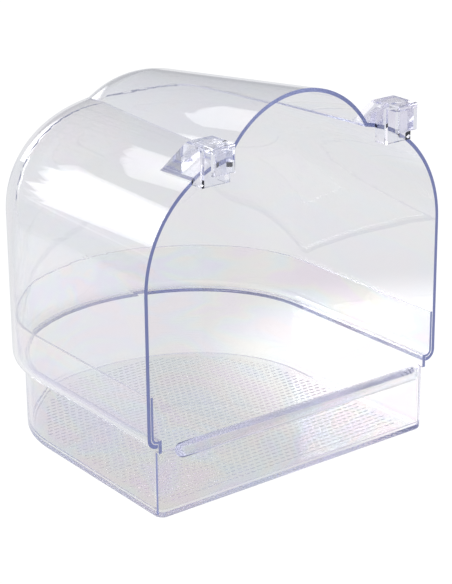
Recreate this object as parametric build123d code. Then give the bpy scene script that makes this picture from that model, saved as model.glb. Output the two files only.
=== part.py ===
from build123d import *
import math
import os

# Hang-on bird bath in clear plastic: a three-lobed hood over a D-shaped water tub.
# Millimetres. X runs across the opening, -Y is the open front, +Z is up.
# Every piece is drawn with the opening in the plane Y = 0 and moved into place at the end.

# Hood and its plan
back_half_width = 70.1     # half the width where the rounded back begins
side_draft = 0.0148         # how fast the side walls open towards the front
straight_depth = 78.0       # depth of the straight side walls
round_depth = 63          # depth of the rounded back
hood_wall = 1.5
shoulder_top = 136.2        # height of the flat top beside the hump, at the front
shoulder_fall = 0.02       # drop of that top per millimetre of depth
shoulder_radius = 46.8
back_radius = 42.0          # round of the shoulders at the back
hump_radius = 38.8
hump_height = 114.9         # height of the hump's axis, at the front
hump_fall = 0.118           # drop of the hump per millimetre of depth
hump_depth = 89.7          # depth of the centre of the hump's round back end
skirt_bottom = 29.8         # underside of the hood's inturned lip
skirt_curl = 4.2            # outer radius of the inturned lip

# Water tub
running_gap = 0.25          # clearance between the tub and the hood it slides in
tub_wall = 1.5
tub_floor = 1.6
rim_step = 4.8              # how far the tub's wall stands inside the hood's outer face
rim_top = 50.5
rim_wall = 1.0              # ledge and flange inside the hood
front_wall_top = 27.3
corner_radius = 4.0
bottom_radius = 1.5
rib_pitch = 6.0
rib_width = 1.2
rib_height = 0.5
rib_margin = 13.0           # floor left plain round the ribs, from the hood's outer face

# Perch rail
rail_radius = 2.9
rail_half_length = 57.0
rail_reach = 2.0            # how far the rail's axis stands in front of the tub
rail_height = 27.2

# Hook clips
clip_centre = 43.3          # distance from the middle of the opening
clip_width = 12.6
lip_width = 9.6
clip_top = 143.0
deck_back = 2.5             # where the deck ends and the ramp begins
ramp_back = 20.5
ramp_foot = 127.0
stem_front = 6.0            # how far the clip's body reaches in front of the hood
stem_wall = 1.8
stem_foot = 127.4
wire_gap = 3.5
lip_wall = 2.0
lip_foot = 132.5
deck_wall = 2.4
pocket_back = 7.0

tall = 200.0
body_depth = straight_depth + round_depth
hook_reach = stem_front + wire_gap + lip_wall
front_plane = (hook_reach - body_depth) / 2


def plan(inset, front):
    # D-shaped plan, shrunk by inset: straight sides tangent to half an ellipse.
    wide = back_half_width - inset
    deep = round_depth - inset
    lead = math.degrees(math.atan(side_draft * deep / wide))
    back = EllipticalCenterArc((0, straight_depth), wide, deep, lead, arc_size=180 - 2 * lead)
    start = back @ 0
    end = back @ 1
    corner = start.X + side_draft * (start.Y - front)
    outline = [
        Line((corner, front), start),
        back,
        Line(end, (-corner, front)),
        Line((-corner, front), (corner, front)),
    ]
    return make_face(Curve() + outline)


def block(inset, front, bottom, top):
    return extrude(Pos(0, 0, bottom) * plan(inset, front), top - bottom)


def rim_edges(face):
    # All edges of a level face except the one along the open front.
    return face.edges().sort_by(Axis.Y)[1:]


def vault(inset, front, roof):
    # Long barrel with the rounder shoulders that the open front shows.
    near = back_half_width - inset + side_draft * (straight_depth - front)
    far = back_half_width - inset + side_draft * (straight_depth - tall)
    floor_plan = make_face(Polyline((near, front), (far, tall), (-far, tall), (-near, front), close=True))
    body = split(extrude(Pos(0, 0, -1) * floor_plan, tall), bisect_by=roof, keep=Keep.BOTTOM)
    long_edges = body.faces().sort_by(Axis.Z)[-1].edges().sort_by(Axis.Y)[1:-1]
    return fillet(long_edges, shoulder_radius - inset)


def shoulders(inset, front, bottom, curl):
    # Tall block with a sloping top, rounded over at the sides and tighter at the back.
    roof = Plane(origin=(0, 0, shoulder_top - inset), z_dir=(0, shoulder_fall, 1))
    body = split(block(inset, front, bottom, tall), bisect_by=roof, keep=Keep.BOTTOM)
    body = fillet(rim_edges(body.faces().sort_by(Axis.Z)[-1]), back_radius - inset)
    body = fillet(rim_edges(body.faces().sort_by(Axis.Z)[0]), curl)
    return body & vault(inset, front, roof)


def hump(inset, front):
    # Round barrel that falls towards the back and ends in a half ball.
    angle = math.atan(hump_fall)
    axis = (0, math.cos(angle), -math.sin(angle))
    start = Vector(0, front, hump_height - hump_fall * front)
    length = (hump_depth - front) / math.cos(angle)
    end = start + Vector(*axis) * length
    barrel = extrude(Plane(origin=start, z_dir=axis) * Circle(hump_radius - inset), length)
    return barrel + Pos(*end) * Sphere(hump_radius - inset)


def hood_envelope(inset, front, bottom, curl):
    return shoulders(inset, front, bottom, curl) + hump(inset, front)


def in_front():
    return Pos(0, -tall / 2, 0) * Box(2 * tall, tall, 4 * tall)


def hood_shell(outer):
    inner = hood_envelope(hood_wall, -20, skirt_bottom + hood_wall, skirt_curl - hood_wall)
    mouth = block(rim_step - running_gap, -20, 0, skirt_bottom + 2 * hood_wall)
    return outer - inner - mouth - in_front()


def bowl(inset, front, bottom, top, corner, floor_round):
    # Lower part of the tub, with upright front corners and a rounded bottom edge.
    body = block(inset, front, bottom, top)
    upright = body.edges().filter_by(Axis.Z).sort_by(Axis.Y)[:2]
    body = fillet(upright, corner)
    return fillet(body.faces().sort_by(Axis.Z)[0].edges(), floor_round)


def floor_ribs():
    # Low anti-slip ribs across the floor, in rows parallel to the front.
    area = block(rib_margin, rib_margin - rim_step, tub_floor - 0.5, tub_floor + rib_height)
    rows = int((body_depth - 2 * rib_margin) / rib_pitch) + 1
    ribs = [
        Pos(0, rib_margin + row * rib_pitch, tub_floor) * Box(2 * tall, rib_width, tall)
        for row in range(rows)
    ]
    return area & (Part() + ribs)


def bath_tub():
    ledge = skirt_bottom + hood_wall + running_gap
    rim_inset = hood_wall + running_gap
    rim_curl = skirt_curl - hood_wall - 0.1
    rim = block(rim_inset, 0, ledge, rim_top)
    rim = fillet(rim_edges(rim.faces().sort_by(Axis.Z)[0]), rim_curl)
    outer = bowl(rim_step, 0, 0, front_wall_top, corner_radius, bottom_radius)
    outer += block(rim_step, 0, front_wall_top, ledge + rim_wall)
    outer += rim
    inner_corner = corner_radius - tub_wall
    inner = bowl(rim_step + tub_wall, tub_wall, tub_floor, front_wall_top, inner_corner, inner_corner)
    inner += block(rim_step + tub_wall, -10, front_wall_top, ledge + rim_wall)
    rim_inside = block(rim_inset + rim_wall, -10, ledge + rim_wall, tall)
    inner += fillet(rim_edges(rim_inside.faces().sort_by(Axis.Z)[0]), rim_curl - rim_wall)
    return outer - inner + floor_ribs()


def perch_rail():
    # Round bar with domed ends, seated on the outside of the front wall.
    bar = Rot(0, 90, 0) * Cylinder(rail_radius, 2 * rail_half_length)
    for side in (-1, 1):
        bar += Pos(side * rail_half_length, 0, 0) * Sphere(rail_radius)
    bar = Pos(0, -rail_reach, rail_height) * bar
    wall = Pos(0, tub_wall / 2, front_wall_top / 2) * Box(tall, tub_wall, front_wall_top)
    return bar - wall


def across(points, width):
    # Side view, given as depth and height, made width thick about the middle.
    side_view = Plane.YZ * make_face(Polyline(*points, close=True))
    return extrude(side_view, width / 2, both=True)


def hook_clip(hood_solid, side):
    # Ramp, deck and down-turned lip. The ramp is bonded to the hood, and its root
    # reaches down in front of the hood's edge.
    lip_back = stem_front + wire_gap
    body = across(
        [
            (ramp_back, ramp_foot),
            (deck_back, clip_top),
            (-stem_front, clip_top),
            (-stem_front, stem_foot),
            (0, stem_foot),
            (ramp_back, ramp_foot - 2),
        ],
        clip_width,
    )
    deck = across(
        [
            (0, clip_top),
            (-hook_reach, clip_top),
            (-hook_reach, lip_foot),
            (-lip_back, lip_foot),
            (-lip_back, clip_top - deck_wall),
            (0, clip_top - deck_wall),
        ],
        lip_width,
    )
    deck = fillet(deck.edges().filter_by(Axis.X).group_by(Axis.Y)[0].sort_by(Axis.Z)[-1], 1.5)
    deck = fillet(deck.edges().filter_by(Axis.Z).group_by(Axis.Y)[0], 0.9)
    slope = (clip_top - ramp_foot) / (ramp_back - deck_back)
    pocket_top = clip_top - deck_wall
    pocket = across(
        [
            (stem_wall - stem_front, ramp_foot - 4),
            (stem_wall - stem_front, pocket_top),
            (deck_back - stem_wall, pocket_top),
            (pocket_back, pocket_top - slope * (pocket_back - deck_back + stem_wall)),
            (pocket_back, ramp_foot - 4),
        ],
        clip_width - 2 * stem_wall,
    )
    clip = Pos(side * clip_centre, 0, 0) * (body + deck - pocket)
    return clip - (hood_solid - in_front())


def write(name, shape):
    export_step(Pos(0, front_plane, 0) * shape, "parts/" + name + ".step")


os.makedirs("parts", exist_ok=True)
hood_solid = hood_envelope(0, -10, skirt_bottom, skirt_curl)
write("hood_shell", hood_shell(hood_solid))
write("bath_tub", bath_tub())
write("perch_rail", perch_rail())
write("hook_clip_left", hook_clip(hood_solid, -1))
write("hook_clip_right", hook_clip(hood_solid, 1))
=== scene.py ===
import math
import bmesh
import bpy
from mathutils import Matrix, Vector


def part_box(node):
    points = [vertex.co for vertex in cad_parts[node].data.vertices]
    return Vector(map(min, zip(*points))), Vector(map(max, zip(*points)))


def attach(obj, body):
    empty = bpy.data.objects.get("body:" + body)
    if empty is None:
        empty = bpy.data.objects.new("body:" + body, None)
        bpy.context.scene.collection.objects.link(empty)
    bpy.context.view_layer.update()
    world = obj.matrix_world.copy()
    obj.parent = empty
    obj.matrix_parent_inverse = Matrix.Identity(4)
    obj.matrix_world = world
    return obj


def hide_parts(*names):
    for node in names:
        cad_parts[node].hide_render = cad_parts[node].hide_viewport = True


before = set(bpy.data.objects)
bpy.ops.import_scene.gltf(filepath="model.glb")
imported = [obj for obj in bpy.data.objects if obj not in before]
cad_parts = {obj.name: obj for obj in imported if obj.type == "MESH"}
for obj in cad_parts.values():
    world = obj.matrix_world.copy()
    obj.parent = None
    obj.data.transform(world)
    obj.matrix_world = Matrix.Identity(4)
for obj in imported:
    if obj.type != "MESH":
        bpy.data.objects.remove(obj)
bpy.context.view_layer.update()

mm = 0.001
hoodLow, hoodHigh = (Vector(corner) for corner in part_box("hood_shell"))
tubLow, tubHigh = (Vector(corner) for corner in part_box("bath_tub"))
railLow, railHigh = (Vector(corner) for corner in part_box("perch_rail"))
clipLow, clipHigh = (Vector(corner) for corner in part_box("hook_clip_right"))
frontY = hoodLow.y    # plane of the open front
tiny = 0.02 * mm      # tolerance for finding a point by its place

# The camera comes first, so every stage can be looked at
cameraView = {
    "place": (-0.4520, -0.6086, 0.3415),
    "heading": 37.50,      # degrees from +Y towards +X
    "tilt": 20.63,         # degrees below the horizon
    "roll": -0.49,
    "lens": 123.4,
    "sensor": 36.0,
}


def addCamera():
    data = bpy.data.cameras.new("camera")
    data.lens = cameraView["lens"]
    data.sensor_width = cameraView["sensor"]
    data.clip_start = 0.01
    data.clip_end = 20
    camera = bpy.data.objects.new("camera", data)
    bpy.context.scene.collection.objects.link(camera)
    camera.location = cameraView["place"]
    heading = math.radians(cameraView["heading"])
    tilt = math.radians(cameraView["tilt"])
    camera.rotation_euler = (math.pi / 2 - tilt, 0, -heading)
    camera.rotation_euler.rotate_axis("Z", math.radians(cameraView["roll"]))
    bpy.context.scene.camera = camera


addCamera()
bpy.context.scene.view_settings.view_transform = "Standard"
bpy.context.scene.cycles.max_bounces = 64            # light runs a long way inside a clear wall
bpy.context.scene.cycles.transmission_bounces = 64
bpy.context.scene.cycles.glossy_bounces = 64        # turns inside the wall count as mirror bounces
print("camera set")


# Colours are written as hex values, and turned to linear here
def fromHex(code):
    channels = [int(code[place:place + 2], 16) / 255 for place in (1, 3, 5)]
    linear = [c / 12.92 if c <= 0.04045 else ((c + 0.055) / 1.055) ** 2.4 for c in channels]
    return (*linear, 1.0)


def addNode(tree, kind, settings=None, inputs=None, links=None):
    node = tree.nodes.new(kind)
    for name, value in (settings or {}).items():
        setattr(node, name, value)
    for name, value in (inputs or {}).items():
        node.inputs[name].default_value = value
    for name, source in (links or {}).items():
        tree.links.new(source, node.inputs[name])
    return node


# Polystyrene, injection moulded in a polished tool: water clear, hard gloss, a trace of violet dye that only
# shows where light has run a long way inside, as at a cut edge. A faint painted glow (emission) lightens the
# walls too
clearPlastic = {
    "body": "#FBFBFC",
    "ior": 1.57,
    "roughness": 0.015,
    "dye": "#8F96E0",
    "dyeDensity": 2.6,         # per metre of path
    "glow": "#B2B7DF",
    "paintedGlowStrength": 0.007,     # painted glow: a faint emission at each hit on the wall, standing in for light the wall carries
    "flowLength": 38 * mm,     # width of the faint colour bands left by moulding stress
    "waveLength": 16 * mm,     # width of the shallow waves in a moulded face
    "waveHeight": 0.02 * mm,
}


def makeClearPlastic(name, body, flowStrength, roughness):
    material = bpy.data.materials.new(name)
    material.use_nodes = True
    tree = material.node_tree
    tree.nodes.clear()
    place = addNode(tree, "ShaderNodeTexCoord")
    # Moulding stress splits light into pale pink, yellow and green bands that follow the flow
    stretch = addNode(tree, "ShaderNodeMapping", inputs={"Scale": (1.0, 0.55, 1.6)},
                      links={"Vector": place.outputs["Object"]})
    flow = addNode(tree, "ShaderNodeTexNoise",
                   inputs={"Scale": 1 / clearPlastic["flowLength"], "Detail": 2.0, "Distortion": 1.2},
                   links={"Vector": stretch.outputs["Vector"]})
    bands = addNode(tree, "ShaderNodeValToRGB", links={"Fac": flow.outputs["Fac"]})
    ramp = bands.color_ramp
    stops = [(0.36, "#FFD6E8"), (0.44, "#FFF3CC"), (0.50, "#DDF8EC"), (0.57, "#E2DEFF"), (0.65, "#FFD9E2")]
    ramp.elements[0].position = stops[0][0]
    ramp.elements[0].color = fromHex(stops[0][1])
    ramp.elements[1].position = stops[-1][0]
    ramp.elements[1].color = fromHex(stops[-1][1])
    for position, code in stops[1:-1]:
        ramp.elements.new(position).color = fromHex(code)
    tint = addNode(tree, "ShaderNodeMix", {"data_type": "RGBA"}, {"Factor": flowStrength})
    tint.inputs[6].default_value = fromHex(body)
    tree.links.new(bands.outputs["Color"], tint.inputs[7])
    drawn = addNode(tree, "ShaderNodeMapping", inputs={"Scale": (1.0, 0.16, 1.0)},
                    links={"Vector": place.outputs["Object"]})
    swell = addNode(tree, "ShaderNodeTexNoise",
                    inputs={"Scale": 1 / clearPlastic["waveLength"], "Detail": 1.0},
                    links={"Vector": drawn.outputs["Vector"]})
    waves = addNode(tree, "ShaderNodeBump", inputs={"Strength": 1.0, "Distance": clearPlastic["waveHeight"]},
                    links={"Height": swell.outputs["Fac"]})
    # The emission is painted glow, not a lamp: it lightens the plastic wherever rays turn inside it
    shader = addNode(tree, "ShaderNodeBsdfPrincipled",
                     inputs={"Transmission Weight": 1.0, "IOR": clearPlastic["ior"], "Roughness": roughness,
                             "Emission Color": fromHex(clearPlastic["glow"]),
                             "Emission Strength": clearPlastic["paintedGlowStrength"]},
                     links={"Base Color": tint.outputs[2], "Normal": waves.outputs["Normal"]})
    dye = addNode(tree, "ShaderNodeVolumeAbsorption",
                  inputs={"Color": fromHex(clearPlastic["dye"]), "Density": clearPlastic["dyeDensity"]})
    addNode(tree, "ShaderNodeOutputMaterial",
            links={"Surface": shader.outputs["BSDF"], "Volume": dye.outputs["Volume"]})
    return material


# The cut rim is real; its violet colour is painted glow, standing in for the light that the walls carry out
# to it
paintedEdgeGlow = {
    "colour": "#8790C8",
    "roughness": 0.18,
    "clear": 0.30,     # share of light that still passes straight through
}


def makePaintedEdgeGlow(name, colour):
    material = bpy.data.materials.new(name)
    material.use_nodes = True
    tree = material.node_tree
    tree.nodes.clear()
    shader = addNode(tree, "ShaderNodeBsdfPrincipled",
                     inputs={"Base Color": fromHex(colour), "Transmission Weight": paintedEdgeGlow["clear"],
                             "IOR": clearPlastic["ior"], "Roughness": paintedEdgeGlow["roughness"]})
    addNode(tree, "ShaderNodeOutputMaterial", links={"Surface": shader.outputs["BSDF"]})
    return material


# Violet painted glow for the cut faces of hood and tub
hoodPaintedEdgeGlow = makePaintedEdgeGlow("violetPaintedGlowEdgeHood", paintedEdgeGlow["colour"])
tubPaintedEdgeGlow = makePaintedEdgeGlow("violetPaintedGlowEdgeTub", "#8F98CC")
hoodPlastic = makeClearPlastic("clearPolystyreneHood", clearPlastic["body"], 0.06, 0.015)
tubPlastic = makeClearPlastic("clearPolystyreneTub", clearPlastic["body"], 0.16, 0.02)
railPlastic = makeClearPlastic("clearPolystyreneRail", "#F9F9FB", 0.04, 0.02)
clipPlastic = makeClearPlastic("clearPolystyreneClip", "#F8F8FC", 0.05, 0.02)
print("materials made")


# Small helpers for modelling by hand in edit mode
def clearSelection():
    if bpy.context.object and bpy.context.object.mode != "OBJECT":
        bpy.ops.object.mode_set(mode="OBJECT")
    bpy.ops.object.select_all(action="DESELECT")


def settle(name):
    # The new primitive keeps its place in its mesh, with its object at the origin
    piece = bpy.context.object
    piece.name = name
    bpy.ops.object.transform_apply(location=True, rotation=True, scale=True)
    bpy.ops.object.mode_set(mode="EDIT")
    return piece


def pick(kind, test):
    # Selects only the points, edges or faces that pass the test
    mesh = bpy.context.edit_object.data
    bpy.ops.mesh.select_mode(type=kind)
    bpy.ops.mesh.select_all(action="DESELECT")
    build = bmesh.from_edit_mesh(mesh)
    items = {"VERT": build.verts, "EDGE": build.edges, "FACE": build.faces}[kind]
    for item in items:
        if test(item):
            item.select_set(True)
    build.select_flush_mode()
    bmesh.update_edit_mesh(mesh)


def faceOutwards():
    bpy.ops.mesh.select_all(action="SELECT")
    bpy.ops.mesh.remove_doubles(threshold=0.001 * mm)
    bpy.ops.mesh.normals_make_consistent(inside=False)


def leaveEdit():
    bpy.ops.object.mode_set(mode="OBJECT")


def applyModifier(piece, kind, **settings):
    bpy.ops.object.select_all(action="DESELECT")
    bpy.context.view_layer.objects.active = piece
    piece.select_set(True)
    modifier = piece.modifiers.new("step", kind)
    for name, value in settings.items():
        setattr(modifier, name, value)
    bpy.ops.object.modifier_apply(modifier="step")


def combine(piece, tool, operation, keepTool=False):
    applyModifier(piece, "BOOLEAN", operation=operation, object=tool, solver="EXACT")
    if not keepTool:
        bpy.data.objects.remove(tool)


def copyOf(piece, name):
    twin = piece.copy()
    twin.data = piece.data.copy()
    twin.name = name
    bpy.context.scene.collection.objects.link(twin)
    return twin


def finishPiece(piece, body, materials, nodes, smoothAngle=34, edgeTest=None):
    bpy.ops.object.select_all(action="DESELECT")
    bpy.context.view_layer.objects.active = piece
    piece.select_set(True)
    bpy.ops.object.shade_smooth_by_angle(angle=math.radians(smoothAngle))
    piece.data.materials.clear()
    for material in materials:
        piece.data.materials.append(material)
    for face in piece.data.polygons:
        face.material_index = 1 if edgeTest and edgeTest(face) else 0
    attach(piece, body)
    if nodes:
        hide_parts(*nodes)


# The D-shaped plan that hood and tub share: straight sides tangent to half an ellipse
straightDepth = 78.0 * mm
planShape = {
    "backHalfWidth": 70.1 * mm,
    "sideDraft": 0.0148,         # how fast the sides open towards the front
    "straightDepth": straightDepth,
    "roundDepth": hoodHigh.y - hoodLow.y - straightDepth,
    "arcPoints": 144,            # points of the whole ellipse
}


def addPlanPrism(name, inset, front, bottom, top):
    # front is the depth of the front face behind the open front's plane
    clearSelection()
    centreY = frontY + planShape["straightDepth"]
    wide = planShape["backHalfWidth"] - inset
    deep = planShape["roundDepth"] - inset
    bpy.ops.mesh.primitive_circle_add(vertices=planShape["arcPoints"], radius=1, fill_type="NOTHING",
                                      location=(0, centreY, bottom))
    bpy.context.object.scale = (wide, deep, 1)
    prism = settle(name)
    pick("VERT", lambda point: point.co.y < centreY - tiny)
    bpy.ops.mesh.delete(type="VERT")
    pick("VERT", lambda point: abs(point.co.y - centreY) < tiny)
    run = planShape["straightDepth"] - front
    bpy.ops.mesh.extrude_vertices_move(TRANSFORM_OT_translate={"value": (0, -run, 0)})
    flare = 1 + planShape["sideDraft"] * run / wide
    bpy.ops.transform.resize(value=(flare, 1, 1), center_override=(0, 0, 0))
    bpy.ops.mesh.select_all(action="SELECT")
    bpy.ops.mesh.edge_face_add()
    bpy.ops.mesh.extrude_region_move(TRANSFORM_OT_translate={"value": (0, 0, top - bottom)})
    faceOutwards()
    return prism


def roundLevelEdges(height, frontFace, radius, segments):
    # Rounds the level edges at one height, except the one along the front face
    def onEdge(edge):
        level = all(abs(point.co.z - height) < tiny for point in edge.verts)
        front = all(abs(point.co.y - frontFace) < tiny for point in edge.verts)
        return level and not front
    pick("EDGE", onEdge)
    bpy.ops.mesh.bevel(offset_type="OFFSET", offset=radius, segments=segments, profile=0.5,
                       affect="EDGES", clamp_overlap=False)


hoodShape = {
    "wall": 1.5 * mm,
    "frontSpare": 10 * mm,        # extra length in front, cut away for the opening
    "reach": 200 * mm,            # height and depth that clear the whole hood
    "bigFace": 0.005,             # square metres, more than any face but the underside
    "shoulderTop": 136.2 * mm,
    "shoulderFall": 0.02,         # drop per unit of depth
    "shoulderRadius": 46.8 * mm,
    "backRadius": 42.0 * mm,      # rounder edge at the sides, tighter one round the back
    "hair": 0.005 * mm,           # keeps flush faces apart while solids are cut
    "humpRadius": 38.8 * mm,
    "humpHeight": 114.9 * mm,
    "humpFall": 0.118,
    "humpDepth": 89.7 * mm,
    "curl": 4.2 * mm,
    "lipInset": 0.35 * mm,
    "smoothAngle": 30,
}


def makeVault(roofPoint, roofUp):
    # Long barrel with the rounder shoulders that the open front shows
    clearSelection()
    near = -2 * hoodShape["frontSpare"]
    far = hoodShape["reach"]
    backHalf = planShape["backHalfWidth"] + hoodShape["hair"]
    farHalf = backHalf + planShape["sideDraft"] * (planShape["straightDepth"] - far)
    nearHalf = backHalf + planShape["sideDraft"] * (planShape["straightDepth"] - near)
    bpy.ops.mesh.primitive_cube_add(size=1, location=(0, frontY + (near + far) / 2, far / 2))
    bpy.context.object.scale = (2 * farHalf, far - near, 1.2 * far)
    vault = settle("hoodVault")
    pick("VERT", lambda point: point.co.y < frontY)
    bpy.ops.transform.resize(value=(nearHalf / farHalf, 1, 1), center_override=(0, 0, 0))
    bpy.ops.mesh.select_all(action="SELECT")
    bpy.ops.mesh.bisect(plane_co=roofPoint, plane_no=roofUp, use_fill=True, clear_outer=True)

    def longEdge(edge):
        level = all(abs((point.co - roofPoint).dot(roofUp)) < tiny for point in edge.verts)
        return level and abs(edge.verts[0].co.y - edge.verts[1].co.y) > tiny
    pick("EDGE", longEdge)
    bpy.ops.mesh.bevel(offset_type="OFFSET", offset=hoodShape["shoulderRadius"], segments=28,
                       profile=0.5, affect="EDGES", clamp_overlap=False)
    faceOutwards()
    leaveEdit()
    return vault


def makeShoulders():
    spare = hoodShape["frontSpare"]
    body = addPlanPrism("hoodShoulders", 0, -spare, hoodLow.z, hoodShape["reach"])
    roofPoint = Vector((0, frontY, hoodShape["shoulderTop"]))
    roofUp = Vector((0, hoodShape["shoulderFall"], 1)).normalized()
    bpy.ops.mesh.select_all(action="SELECT")
    bpy.ops.mesh.bisect(plane_co=roofPoint, plane_no=roofUp, use_fill=True, clear_outer=True)

    def onRoof(edge):
        level = all(abs((point.co - roofPoint).dot(roofUp)) < tiny for point in edge.verts)
        front = all(abs(point.co.y - frontY + spare) < tiny for point in edge.verts)
        return level and not front
    pick("EDGE", onRoof)
    bpy.ops.mesh.bevel(offset_type="OFFSET", offset=hoodShape["backRadius"], segments=28,
                       profile=0.5, affect="EDGES", clamp_overlap=False)
    roundLevelEdges(hoodLow.z, frontY - spare, hoodShape["curl"], 8)
    pick("FACE", lambda face: face.normal.z < -0.999 and abs(face.calc_center_median().z - hoodLow.z) < tiny)
    bpy.ops.mesh.inset(thickness=hoodShape["lipInset"])
    faceOutwards()
    leaveEdit()
    combine(body, makeVault(roofPoint + roofUp * hoodShape["hair"], roofUp), "INTERSECT")
    return body


def makeHump():
    # A ball whose front half is drawn out into a barrel that rises towards the front
    clearSelection()
    fall = math.atan(hoodShape["humpFall"])
    axis = Vector((0, math.cos(fall), -math.sin(fall)))
    depth = hoodShape["humpDepth"]
    centre = Vector((0, frontY + depth, hoodShape["humpHeight"] - hoodShape["humpFall"] * depth))
    bpy.ops.mesh.primitive_uv_sphere_add(segments=128, ring_count=64, radius=hoodShape["humpRadius"],
                                         location=centre, rotation=(-math.pi / 2 - fall, 0, 0))
    hump = settle("hoodHump")
    pick("VERT", lambda point: (point.co - centre).dot(axis) < -tiny)
    bpy.ops.mesh.delete(type="VERT")
    pick("EDGE", lambda edge: all(abs((point.co - centre).dot(axis)) < tiny for point in edge.verts))
    length = (depth + hoodShape["frontSpare"]) / math.cos(fall)
    bpy.ops.mesh.extrude_region_move(TRANSFORM_OT_translate={"value": -axis * length})
    bpy.ops.mesh.edge_face_add()
    faceOutwards()
    leaveEdit()
    return hump


def makeHood():
    envelope = makeShoulders()
    combine(envelope, makeHump(), "UNION")
    hood = copyOf(envelope, "hoodShell")
    clearSelection()
    bpy.context.view_layer.objects.active = hood
    hood.select_set(True)
    spareFront = frontY - hoodShape["frontSpare"] / 2
    bpy.ops.object.mode_set(mode="EDIT")
    bpy.ops.mesh.select_all(action="SELECT")
    bpy.ops.mesh.bisect(plane_co=(0, spareFront, 0), plane_no=(0, -1, 0), clear_outer=True)
    pick("FACE", lambda face: face.normal.z < -0.999 and face.calc_area() > hoodShape["bigFace"])
    bpy.ops.mesh.delete(type="FACE")
    leaveEdit()
    applyModifier(hood, "SOLIDIFY", thickness=hoodShape["wall"], offset=-1,
                  use_even_offset=True, use_quality_normals=True)
    bpy.ops.object.mode_set(mode="EDIT")
    bpy.ops.mesh.select_all(action="SELECT")
    bpy.ops.mesh.bisect(plane_co=(0, frontY, 0), plane_no=(0, -1, 0), use_fill=True, clear_outer=True)
    leaveEdit()

    # Faces of the open front's cut get the violet painted glow
    def onPaintedGlowCut(face):
        return face.normal.y < -0.99 and face.center.y < frontY + tiny
    finishPiece(hood, "hood", [hoodPlastic, hoodPaintedEdgeGlow], ["hood_shell"],
                hoodShape["smoothAngle"], onPaintedGlowCut)
    return envelope


hoodEnvelope = makeHood()
print("hood made")


tubShape = {
    "wall": 1.5 * mm,
    "floor": 1.6 * mm,
    "step": 4.8 * mm,          # tub wall inside the hood's outer face
    "rimInset": 1.75 * mm,
    "rimWall": 1.0 * mm,
    "ledge": 31.55 * mm,       # underside of the ledge
    "frontWall": 27.3 * mm,
    "cornerRadius": 4.0 * mm,
    "bottomRadius": 1.5 * mm,
    "rimCurl": 2.6 * mm,
    "paintedStripTurn": (0.80, 0.96),    # sideways part of the normals across the painted glow strip at a corner
}


def addBowl(name, inset, front, bottom, top, cornerRadius, bottomRadius):
    bowl = addPlanPrism(name, inset, front, bottom, top)

    def uprightCorner(edge):
        span = edge.verts[0].co - edge.verts[1].co
        return abs(span.z) > 0.01 and edge.verts[0].co.y < frontY + front + tiny
    pick("EDGE", uprightCorner)
    bpy.ops.mesh.bevel(offset_type="OFFSET", offset=cornerRadius, segments=8, affect="EDGES")
    pick("EDGE", lambda edge: all(abs(point.co.z - bottom) < tiny for point in edge.verts))
    bpy.ops.mesh.bevel(offset_type="OFFSET", offset=bottomRadius, segments=7, affect="EDGES",
                       clamp_overlap=False)
    faceOutwards()
    leaveEdit()
    return bowl


def addBlock(name, inset, front, bottom, top):
    block = addPlanPrism(name, inset, front, bottom, top)
    leaveEdit()
    return block


railShape = {
    "radius": (railHigh.z - railLow.z) / 2,
    "height": (railHigh.z + railLow.z) / 2,
    "seatGap": 0.02 * mm,      # hairline between the bar and the groove it lies in
    "sides": 64,
    "domeRings": 28,
}


def addBar(name, radius):
    # A ball drawn out to both sides, so the bar has its domed ends
    clearSelection()
    bpy.ops.mesh.primitive_uv_sphere_add(segments=railShape["sides"], ring_count=railShape["domeRings"],
                                         radius=radius,
                                         location=(0, railLow.y + railShape["radius"], railShape["height"]),
                                         rotation=(0, math.pi / 2, 0))
    bar = settle(name)
    reach = railHigh.x - railShape["radius"]
    for side in (-1, 1):
        pick("VERT", lambda point: point.co.x * side > tiny)
        bpy.ops.transform.translate(value=(side * reach, 0, 0))
    faceOutwards()
    leaveEdit()
    return bar


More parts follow.
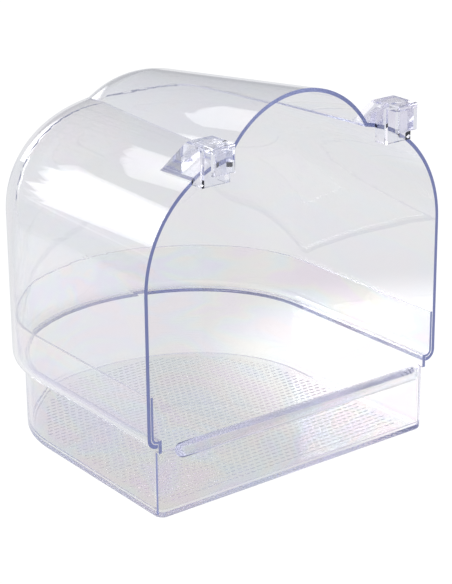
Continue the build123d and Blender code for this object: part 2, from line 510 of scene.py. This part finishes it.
def makeTub():
    wall = tubShape["wall"]
    ledgeTop = tubShape["ledge"] + tubShape["rimWall"]
    spare = 10 * mm
    lap = 1 * mm    # the solids run into each other, so no skin is left where they join
    tub = addBowl("bathTub", tubShape["step"], 0, 0, ledgeTop - lap / 2, tubShape["cornerRadius"],
                  tubShape["bottomRadius"])
    rim = addPlanPrism("tubRim", tubShape["rimInset"], 0, tubShape["ledge"], tubHigh.z)
    roundLevelEdges(tubShape["ledge"], frontY, tubShape["rimCurl"], 5)
    leaveEdit()
    combine(tub, addBlock("tubNeck", tubShape["step"], 0, tubShape["frontWall"], ledgeTop), "UNION")
    combine(tub, rim, "UNION")
    innerStep = tubShape["step"] + wall
    innerRadius = tubShape["cornerRadius"] - wall
    inside = addBowl("tubInside", innerStep, wall, tubShape["floor"], ledgeTop, innerRadius, innerRadius)
    combine(inside, addBlock("neckInside", innerStep, -spare, tubShape["frontWall"], ledgeTop + lap), "UNION")
    rimInside = addPlanPrism("rimInside", tubShape["rimInset"] + tubShape["rimWall"], -spare, ledgeTop,
                             2 * tubHigh.z)
    roundLevelEdges(ledgeTop, frontY - spare, tubShape["rimCurl"] - tubShape["rimWall"], 4)
    leaveEdit()
    combine(inside, rimInside, "UNION")
    combine(tub, inside, "DIFFERENCE")
    groove = addBar("railGroove", railShape["radius"] + railShape["seatGap"])
    combine(tub, groove, "DIFFERENCE")

    # The cut rim, and a strip down each upright front corner, painted with violet glow that stands in for the
    # walls' light coming out
    def onPaintedGlowRimOrStrip(face):
        above = face.center.z > tubShape["frontWall"]
        rim = above and face.normal.y < -0.99 and face.center.y < frontY + tiny
        least, most = tubShape["paintedStripTurn"]
        corner = least < abs(face.normal.x) < most and face.normal.y < -0.2 and abs(face.normal.z) < 0.1
        outside = abs(face.center.x) > planShape["backHalfWidth"] - tubShape["step"] - 0.2 * mm
        below = face.center.z < tubShape["frontWall"]
        return rim or (corner and outside and below)
    finishPiece(tub, "tub", [tubPlastic, tubPaintedEdgeGlow], ["bath_tub"], 30, onPaintedGlowRimOrStrip)


makeTub()
print("tub made")


# Short anti-slip bars on the tub's floor, in staggered rows like bricks
pipShape = {
    "length": 2.0 * mm,
    "width": 0.9 * mm,
    "height": 0.13 * mm,
    "pitchAcross": 3.0 * mm,
    "pitchDeep": 2.6 * mm,     # from one row to the next
    "rowPairs": 26,            # enough for the whole depth, outside ones are deleted
    "margin": 5.5 * mm,        # plain floor beside the tub's inner wall
    "round": 0.2 * mm,
}


def insidePlan(x, y, inset):
    depth = y - frontY
    wide = planShape["backHalfWidth"] - inset
    past = depth - planShape["straightDepth"]
    if depth < inset - tubShape["step"]:
        return False
    if past < 0:
        return abs(x) < wide - planShape["sideDraft"] * past
    deep = planShape["roundDepth"] - inset
    return (x / wide) ** 2 + (past / deep) ** 2 < 1


def makeFloorPips():
    inset = tubShape["step"] + tubShape["wall"] + pipShape["margin"]
    rowStep = 2 * pipShape["pitchDeep"]
    halfWidth = planShape["backHalfWidth"]
    count = int(2 * halfWidth / pipShape["pitchAcross"])
    startX = -count / 2 * pipShape["pitchAcross"]
    startY = frontY + inset - tubShape["step"] + pipShape["pitchDeep"]
    rows = []
    for shift in (0, 1):
        clearSelection()
        cornerX = startX + shift * pipShape["pitchAcross"] / 2
        cornerY = startY + shift * pipShape["pitchDeep"]
        bpy.ops.mesh.primitive_cube_add(
            size=1, location=(cornerX, cornerY, tubShape["floor"] + pipShape["height"] / 2 - tiny))
        bpy.context.object.scale = (pipShape["length"], pipShape["width"], pipShape["height"])
        pip = settle("floorPips" if shift == 0 else "floorPipsBetween")
        pick("EDGE", lambda edge: any(point.co.z > tubShape["floor"] + 0.1 * mm for point in edge.verts))
        bpy.ops.mesh.bevel(offset_type="OFFSET", offset=pipShape["round"], segments=1, affect="EDGES")
        leaveEdit()
        applyModifier(pip, "ARRAY", count=count, use_relative_offset=False, use_constant_offset=True,
                      constant_offset_displace=(pipShape["pitchAcross"], 0, 0))
        applyModifier(pip, "ARRAY", count=pipShape["rowPairs"], use_relative_offset=False,
                      use_constant_offset=True, constant_offset_displace=(0, rowStep, 0))

        def outside(point):
            column = round((point.co.x - cornerX) / pipShape["pitchAcross"])
            row = round((point.co.y - cornerY) / rowStep)
            centre = (cornerX + column * pipShape["pitchAcross"], cornerY + row * rowStep)
            return not insidePlan(*centre, inset)
        bpy.ops.object.mode_set(mode="EDIT")
        pick("VERT", outside)
        bpy.ops.mesh.delete(type="VERT")
        leaveEdit()
        rows.append(pip)
    clearSelection()
    for pip in rows:
        pip.select_set(True)
    bpy.context.view_layer.objects.active = rows[0]
    bpy.ops.object.join()
    finishPiece(rows[0], "tub", [tubPlastic], [])


makeFloorPips()
print("floor pips made")


def makeRail():
    finishPiece(addBar("perchRail", railShape["radius"]), "tub", [railPlastic],
                ["perch_rail"], 40)


makeRail()
print("rail made")


clipShape = {
    "top": clipHigh.z,
    "deckBack": 2.5 * mm,
    "rampBack": 20.5 * mm,
    "rampFoot": 127.0 * mm,
    "stemFront": 6.0 * mm,
    "stemWall": 1.8 * mm,
    "stemFoot": 127.4 * mm,
    "wireGap": 3.5 * mm,
    "lipWall": 2.0 * mm,
    "lipFoot": 132.5 * mm,
    "lipWidth": 9.6 * mm,
    "deckWall": 2.4 * mm,
    "pocketBack": 7.0 * mm,
    "pocketSpare": 8 * mm,     # how far the pocket runs out below the stem
    "rampDrop": 0.5 * mm,      # extra wall under the foot of the ramp
    "topRound": 1.6 * mm,
    "lipRound": 0.9 * mm,
}


def addSlab(name, halfWidth, near, far, bottom, top):
    # near and far are depths behind the open front
    clearSelection()
    bpy.ops.mesh.primitive_cube_add(size=1, location=(0, frontY + (near + far) / 2, (bottom + top) / 2))
    bpy.context.object.scale = (2 * halfWidth, far - near, top - bottom)
    return settle(name)


def cutRamp(back, foot, front, top):
    # Slices off everything above the slope from (back, foot) up to (front, top)
    normal = Vector((0, top - foot, back - front)).normalized()
    bpy.ops.mesh.select_all(action="SELECT")
    bpy.ops.mesh.bisect(plane_co=(0, frontY + front, top), plane_no=normal, use_fill=True, clear_outer=True)


def makeClips():
    shape = clipShape
    halfWidth = (clipHigh.x - clipLow.x) / 2
    centreX = (clipHigh.x + clipLow.x) / 2
    clip = addSlab("hookClip", halfWidth, -shape["stemFront"], shape["rampBack"], shape["stemFoot"],
                   shape["top"])
    cutRamp(shape["rampBack"], shape["rampFoot"], shape["deckBack"], shape["top"])
    pick("EDGE", lambda edge: all(point.co.z > shape["top"] - tiny for point in edge.verts)
         and abs(edge.verts[0].co.x - edge.verts[1].co.x) < tiny)
    bpy.ops.mesh.bevel(offset_type="OFFSET", offset=shape["topRound"], segments=3, affect="EDGES")
    leaveEdit()
    # Deck that runs out over the wire, with its lip drawn down from the front strip
    reach = shape["stemFront"] + shape["wireGap"] + shape["lipWall"]
    deckFoot = shape["top"] - shape["deckWall"]
    deck = addSlab("clipDeck", shape["lipWidth"] / 2, -reach, 0, deckFoot, shape["top"])
    lipBack = frontY - reach + shape["lipWall"]
    bpy.ops.mesh.select_all(action="SELECT")
    bpy.ops.mesh.bisect(plane_co=(0, lipBack, 0), plane_no=(0, 1, 0))
    pick("FACE", lambda face: face.normal.z < -0.99 and face.calc_center_median().y < lipBack)
    bpy.ops.mesh.extrude_region_move(TRANSFORM_OT_translate={"value": (0, 0, shape["lipFoot"] - deckFoot)})
    lipFront = frontY - reach
    pick("EDGE", lambda edge: all(point.co.y < lipFront + tiny for point in edge.verts))
    bpy.ops.mesh.bevel(offset_type="OFFSET", offset=shape["lipRound"], segments=4, affect="EDGES")
    faceOutwards()
    leaveEdit()
    combine(clip, deck, "UNION")
    # Hollow under the ramp, so light catches its inner faces
    wall = shape["stemWall"]
    pocket = addSlab("clipPocket", halfWidth - wall, wall - shape["stemFront"], shape["pocketBack"],
                     shape["stemFoot"] - shape["pocketSpare"], deckFoot)
    cutRamp(shape["rampBack"] - wall, shape["rampFoot"] - shape["rampDrop"], shape["deckBack"] - wall,
            deckFoot)
    leaveEdit()
    combine(clip, pocket, "DIFFERENCE")
    for side, body in ((-1, "hookClipLeft"), (1, "hookClipRight")):
        piece = copyOf(clip, body)
        bpy.ops.object.select_all(action="DESELECT")
        bpy.context.view_layer.objects.active = piece
        piece.select_set(True)
        piece.location.x = side * centreX
        bpy.ops.object.transform_apply(location=True, rotation=False, scale=False)
        combine(piece, backHalfOf(hoodEnvelope), "DIFFERENCE")
        node = "hook_clip_left" if side < 0 else "hook_clip_right"
        finishPiece(piece, "hood", [clipPlastic], [node], 25)
    bpy.data.objects.remove(clip)


def backHalfOf(envelope):
    # The hood's envelope behind its front plane, as a tool to shape the clips' feet
    twin = copyOf(envelope, "clipFootTool")
    bpy.ops.object.select_all(action="DESELECT")
    bpy.context.view_layer.objects.active = twin
    twin.select_set(True)
    bpy.ops.object.mode_set(mode="EDIT")
    bpy.ops.mesh.select_all(action="SELECT")
    bpy.ops.mesh.bisect(plane_co=(0, frontY, 0), plane_no=(0, -1, 0), use_fill=True, clear_outer=True)
    leaveEdit()
    return twin


makeClips()
bpy.data.objects.remove(hoodEnvelope)
print("clips made")


# Stage: a plain white table and backdrop. What the clear plastic mirrors and refracts is a pale
# grey studio, a big softbox on the left and two pools of light on the table
studio = {
    "tableSize": 12.0,
    "tableGap": 0.3 * mm,
    "white": "#FFFFFF",
    "left": "#FFFFFF",        # walls of the studio, as the plastic mirrors them
    "right": "#B4B5B9",
    "wallStrength": 1.1,
    "ceilingShare": 0.86,     # brightness overhead against the walls
    "tableGrey": "#E6E7E9",
    "tableUnder": "#E0E1E3",  # in the shade of the tub
    "poolStrength": 1.12,
}

# Pools of light on the table: place, radius where they fade out
tablePools = [
    ((-0.26, 0.14, 0), 0.26),
    ((0.125, -0.02, 0), 0.13),
]

# Softboxes and one grey card, placed round the object's length: turn is the angle from straight
# behind, lift the angle over the top, from 0 at the left over 90 overhead to 180 at the right
softboxes = [
    {"name": "softboxLeft", "turn": 36, "lift": 33, "distance": 1.3, "deep": 0.60, "tall": 0.58,
     "radiance": 4.2, "rim": 1.0, "fadeDeep": 0.10, "fadeTall": 0.26},
    {"name": "greyCardLeft", "turn": 36, "lift": 11, "distance": 1.36, "deep": 0.60, "tall": 0.20,
     "radiance": 0.12, "rim": 0.6, "fadeDeep": 0.06, "fadeTall": 0.12},
    {"name": "softboxBack", "turn": 11, "lift": 125, "distance": 1.6, "deep": 0.5, "tall": 0.5,
     "radiance": 2.2, "rim": 0.9, "fadeDeep": 0.45, "fadeTall": 0.45},
    {"name": "softboxTop", "turn": 44, "lift": 88, "distance": 1.4, "deep": 0.6, "tall": 0.5,
     "radiance": 1.6, "rim": 0.9, "fadeDeep": 0.4, "fadeTall": 0.4},
]


def addWorld():
    world = bpy.data.worlds.new("studio")
    bpy.context.scene.world = world
    world.use_nodes = True
    tree = world.node_tree
    tree.nodes.clear()
    path = addNode(tree, "ShaderNodeLightPath")
    place = addNode(tree, "ShaderNodeTexCoord")
    split = addNode(tree, "ShaderNodeSeparateXYZ", links={"Vector": place.outputs["Generated"]})
    across = addNode(tree, "ShaderNodeMapRange", inputs={"From Min": -0.8, "From Max": 0.5},
                     links={"Value": split.outputs["X"]})
    wall = addNode(tree, "ShaderNodeMix", {"data_type": "RGBA"}, links={"Factor": across.outputs["Result"]})
    wall.inputs[6].default_value = fromHex(studio["left"])
    wall.inputs[7].default_value = fromHex(studio["right"])
    above = addNode(tree, "ShaderNodeMapRange", inputs={"From Min": 0.1, "From Max": 1.0, "To Min": 1.0,
                                                        "To Max": studio["ceilingShare"]},
                    links={"Value": split.outputs["Z"]})
    power = addNode(tree, "ShaderNodeMath", {"operation": "MULTIPLY"}, links={0: above.outputs["Result"]})
    power.inputs[1].default_value = studio["wallStrength"]
    inside = addNode(tree, "ShaderNodeBackground",
                     links={"Color": wall.outputs[2], "Strength": power.outputs[0]})
    seen = addNode(tree, "ShaderNodeBackground", inputs={"Color": fromHex(studio["white"]), "Strength": 1.05})
    both = addNode(tree, "ShaderNodeMixShader", links={"Fac": path.outputs["Is Camera Ray"]})
    tree.links.new(inside.outputs["Background"], both.inputs[1])
    tree.links.new(seen.outputs["Background"], both.inputs[2])
    addNode(tree, "ShaderNodeOutputWorld", links={"Surface": both.outputs["Shader"]})


def makeTableTop(name, base):
    # White to the eye; the plastic sees a grey with pools of light, as round a lit product
    material = bpy.data.materials.new(name)
    material.use_nodes = True
    tree = material.node_tree
    tree.nodes.clear()
    path = addNode(tree, "ShaderNodeLightPath")
    place = addNode(tree, "ShaderNodeTexCoord")
    colour = None
    for centre, radius in tablePools:
        far = addNode(tree, "ShaderNodeVectorMath", {"operation": "DISTANCE"},
                      links={"Vector": place.outputs["Object"]})
        far.inputs[1].default_value = centre
        fade = addNode(tree, "ShaderNodeMapRange", {"interpolation_type": "SMOOTHERSTEP"},
                       {"From Min": radius, "From Max": 0.45 * radius}, {"Value": far.outputs["Value"]})
        pool = addNode(tree, "ShaderNodeMix", {"data_type": "RGBA"}, links={"Factor": fade.outputs["Result"]})
        pool.inputs[6].default_value = fromHex(base)
        if colour:
            tree.links.new(colour, pool.inputs[6])
        pool.inputs[7].default_value = [studio["poolStrength"]] * 3 + [1]
        colour = pool.outputs[2]
    glow = addNode(tree, "ShaderNodeEmission", links={"Color": colour})
    seen = addNode(tree, "ShaderNodeEmission", inputs={"Color": fromHex(studio["white"]), "Strength": 1.05})
    both = addNode(tree, "ShaderNodeMixShader", links={"Fac": path.outputs["Is Camera Ray"]})
    tree.links.new(glow.outputs["Emission"], both.inputs[1])
    tree.links.new(seen.outputs["Emission"], both.inputs[2])
    addNode(tree, "ShaderNodeOutputMaterial", links={"Surface": both.outputs["Shader"]})
    return material


def addTable():
    clearSelection()
    bpy.ops.mesh.primitive_plane_add(size=studio["tableSize"], location=(0, 0, -studio["tableGap"]))
    table = bpy.context.object
    table.name = "tableTop"
    table.data.materials.append(makeTableTop("whiteTableTop", studio["tableGrey"]))
    # The shade under the tub, a hair above the table
    shade = addPlanPrism("tableShade", tubShape["step"] + 2 * mm, 2 * mm, -0.2 * mm, -0.1 * mm)
    leaveEdit()
    shade.data.materials.append(makeTableTop("shadedTableTop", studio["tableUnder"]))


def softEdge(tree, coordinate, fade):
    # 0 at both ends of the softbox's side, 1 over its middle
    middle = addNode(tree, "ShaderNodeMath", {"operation": "SUBTRACT"}, links={0: coordinate})
    middle.inputs[1].default_value = 0.5
    away = addNode(tree, "ShaderNodeMath", {"operation": "ABSOLUTE"}, links={0: middle.outputs[0]})
    return addNode(tree, "ShaderNodeMapRange", {"interpolation_type": "SMOOTHSTEP"},
                   {"From Min": 0.5, "From Max": 0.5 - fade}, {"Value": away.outputs[0]}).outputs["Result"]


def addSoftboxes():
    for box in softboxes:
        data = bpy.data.lights.new(box["name"], "AREA")
        data.shape = "RECTANGLE"
        data.size = box["deep"]
        data.size_y = box["tall"]
        data.energy = box["radiance"] * math.pi * box["deep"] * box["tall"]
        data.use_nodes = True
        tree = data.node_tree
        tree.nodes.clear()
        place = addNode(tree, "ShaderNodeNewGeometry")
        split = addNode(tree, "ShaderNodeSeparateXYZ", links={"Vector": place.outputs["Parametric"]})
        deep = softEdge(tree, split.outputs["X"], box["fadeDeep"])
        tall = softEdge(tree, split.outputs["Y"], box["fadeTall"])
        both = addNode(tree, "ShaderNodeMath", {"operation": "MULTIPLY"}, links={0: deep, 1: tall})
        power = addNode(tree, "ShaderNodeMapRange", inputs={"To Min": box["rim"] / box["radiance"]},
                        links={"Value": both.outputs[0]})
        glow = addNode(tree, "ShaderNodeEmission", links={"Strength": power.outputs["Result"]})
        addNode(tree, "ShaderNodeOutputLight", links={"Surface": glow.outputs["Emission"]})
        lamp = bpy.data.objects.new(box["name"], data)
        bpy.context.scene.collection.objects.link(lamp)
        turn = math.radians(box["turn"])
        lift = math.radians(box["lift"])
        away = Vector((-math.sin(turn) * math.cos(lift), math.cos(turn), math.sin(turn) * math.sin(lift)))
        lamp.location = Vector((0, 0, 0.1)) + away * box["distance"]
        # One side of each box points straight behind, so its mirror image runs along the hood
        inward = (Vector((0, 1, 0)) - away * away.y).normalized()
        lamp.rotation_euler = Matrix((inward, away.cross(inward), away)).transposed().to_euler()
        lamp.visible_camera = False


addWorld()
addTable()
addSoftboxes()
print("stage lit")
